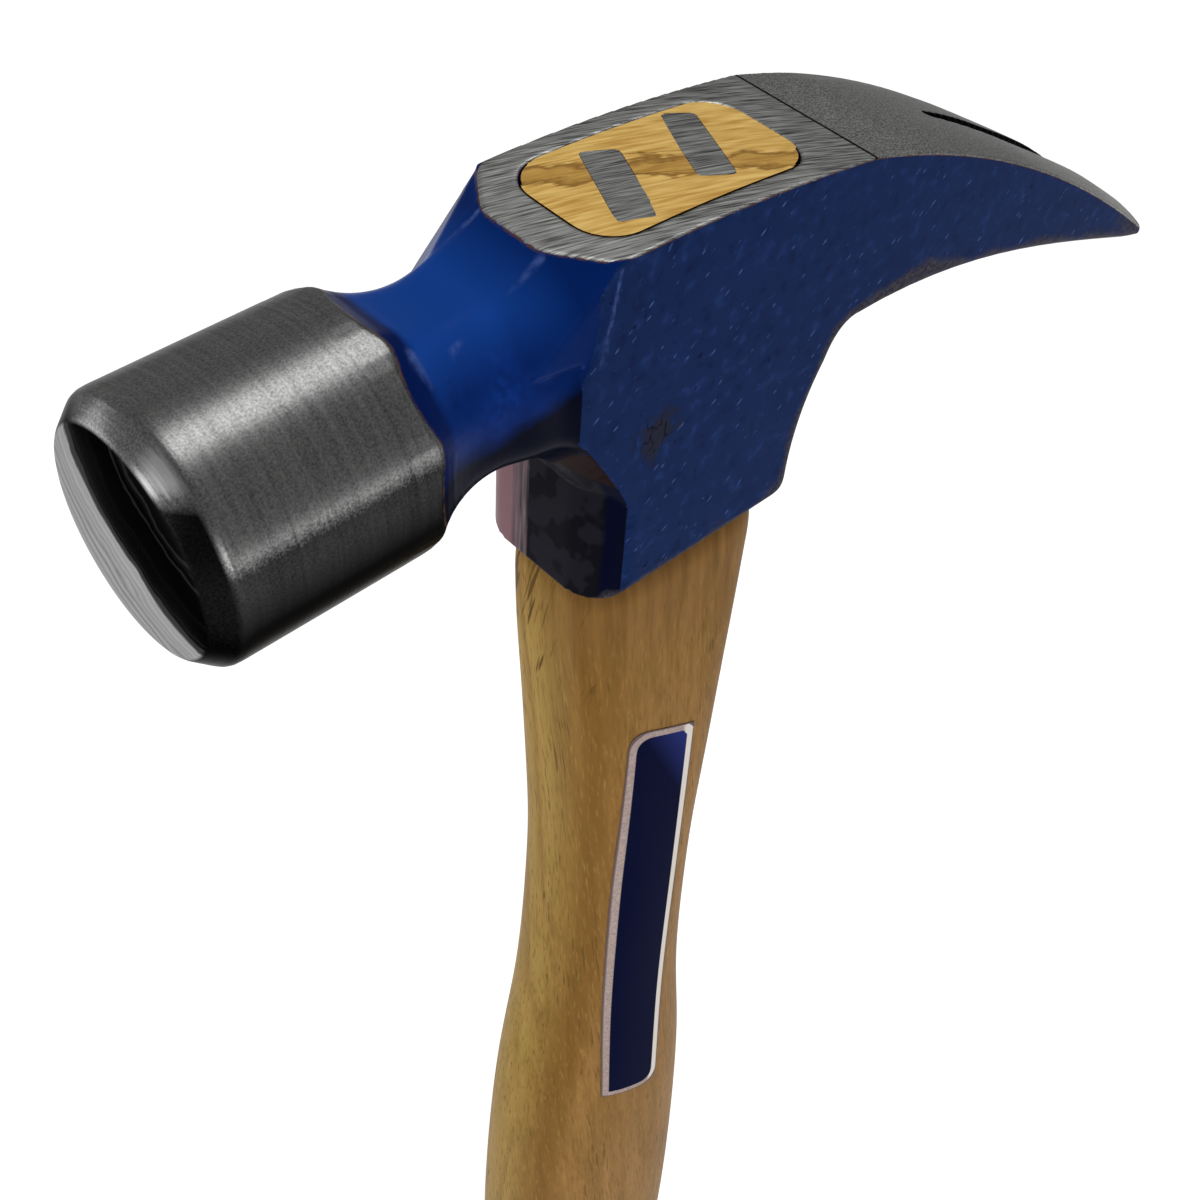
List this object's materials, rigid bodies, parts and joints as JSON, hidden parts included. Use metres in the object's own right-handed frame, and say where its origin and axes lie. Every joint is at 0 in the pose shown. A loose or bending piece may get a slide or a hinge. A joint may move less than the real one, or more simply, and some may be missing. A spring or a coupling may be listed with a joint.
{
  "type": "rip hammer",
  "caption": "Wood-handled rip hammer: round poll with a bevelled face, octagonal neck, straight split claws and an eye wedged with wood and steel.",
  "frame": {"origin": "centre of the flat butt of the handle", "axes": "+Z along the handle from butt to head, -X the way the striking face points, +X the way the claws point, Y across the cheeks with the label on the -Y side"},
  "size_m": [0.1517, 0.0308, 0.3302],
  "materials": {
    "painted_head": "forged steel, navy paint on neck, cheeks and skirt, ground bare on top, claws and poll",
    "hickory": "turned and lacquered",
    "wedge_wood": "end grain, ground flush",
    "wedge_steel": "ground flush with the top",
    "label_foil": "printed foil, bare, with a pale border"
  },
  "bodies": {
    "root": {"head": "painted_head", "handle": "hickory", "wood_wedge": "wedge_wood", "steel_wedge_front": "wedge_steel", "steel_wedge_rear": "wedge_steel", "handle_label": "label_foil"}
  },
  "joints": []
}
